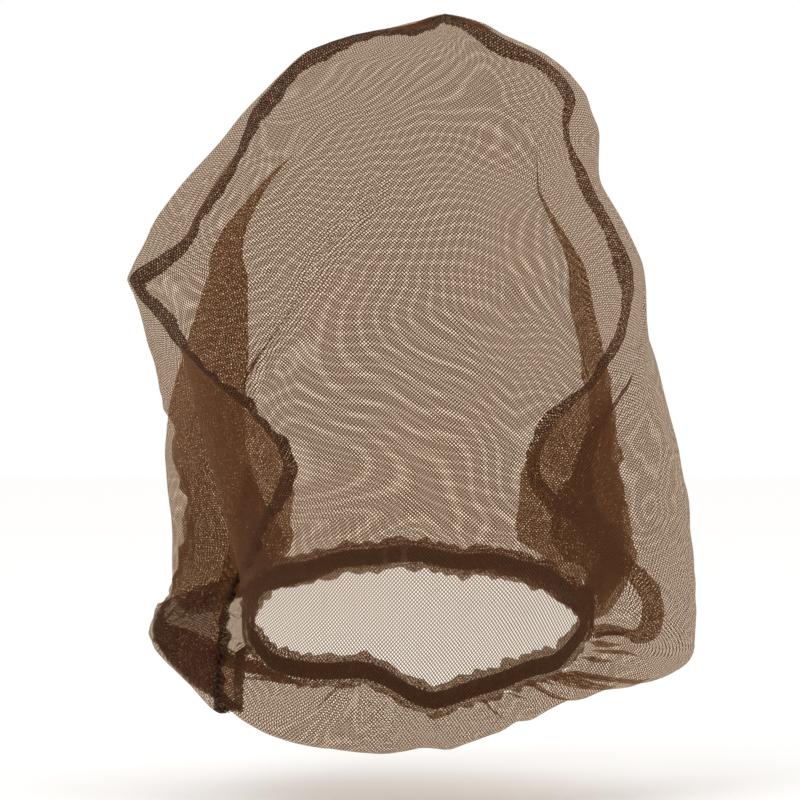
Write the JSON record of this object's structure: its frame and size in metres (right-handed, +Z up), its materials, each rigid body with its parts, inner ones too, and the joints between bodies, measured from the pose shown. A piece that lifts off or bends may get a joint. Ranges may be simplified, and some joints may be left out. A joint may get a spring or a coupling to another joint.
{
  "type": "head net",
  "caption": "Pull-over insect veil of fine brown net: a seamed sack that hangs from the crown and is gathered at the neck on an elastic hem.",
  "frame": {"origin": "where the net rests on the crown of the wearer's head", "axes": "+Z up out of the crown; the wearer faces -Y; +X is the wearer's left"},
  "size_m": [0.2599, 0.2565, 0.3318],
  "materials": {
    "net": "open polyester tulle, matt thread with a slight sheen",
    "seam_net": "doubled and gathered tulle",
    "hem_net": "folded and gathered tulle",
    "thread": "spun polyester sewing thread",
    "elastic": "braided elastic, polyester over rubber"
  },
  "bodies": {
    "hood": {"front_net_panel": "net", "back_net_panel": "net", "seam_allowance": "seam_net", "overlock_thread": "thread", "seam_needle_thread": "thread"},
    "neck_hem": {"front_hem_casing": "hem_net", "back_hem_casing": "hem_net", "elastic_band": "elastic", "elastic_join_stitches": "thread", "hem_stitch_thread": "thread"}
  },
  "joints": [
    {"name": "hem_lift", "type": "slide", "parent": "hood", "child": "neck_hem", "axis": [0, -0.342, 0.9397], "range_m": [0, 0.11]}
  ]
}
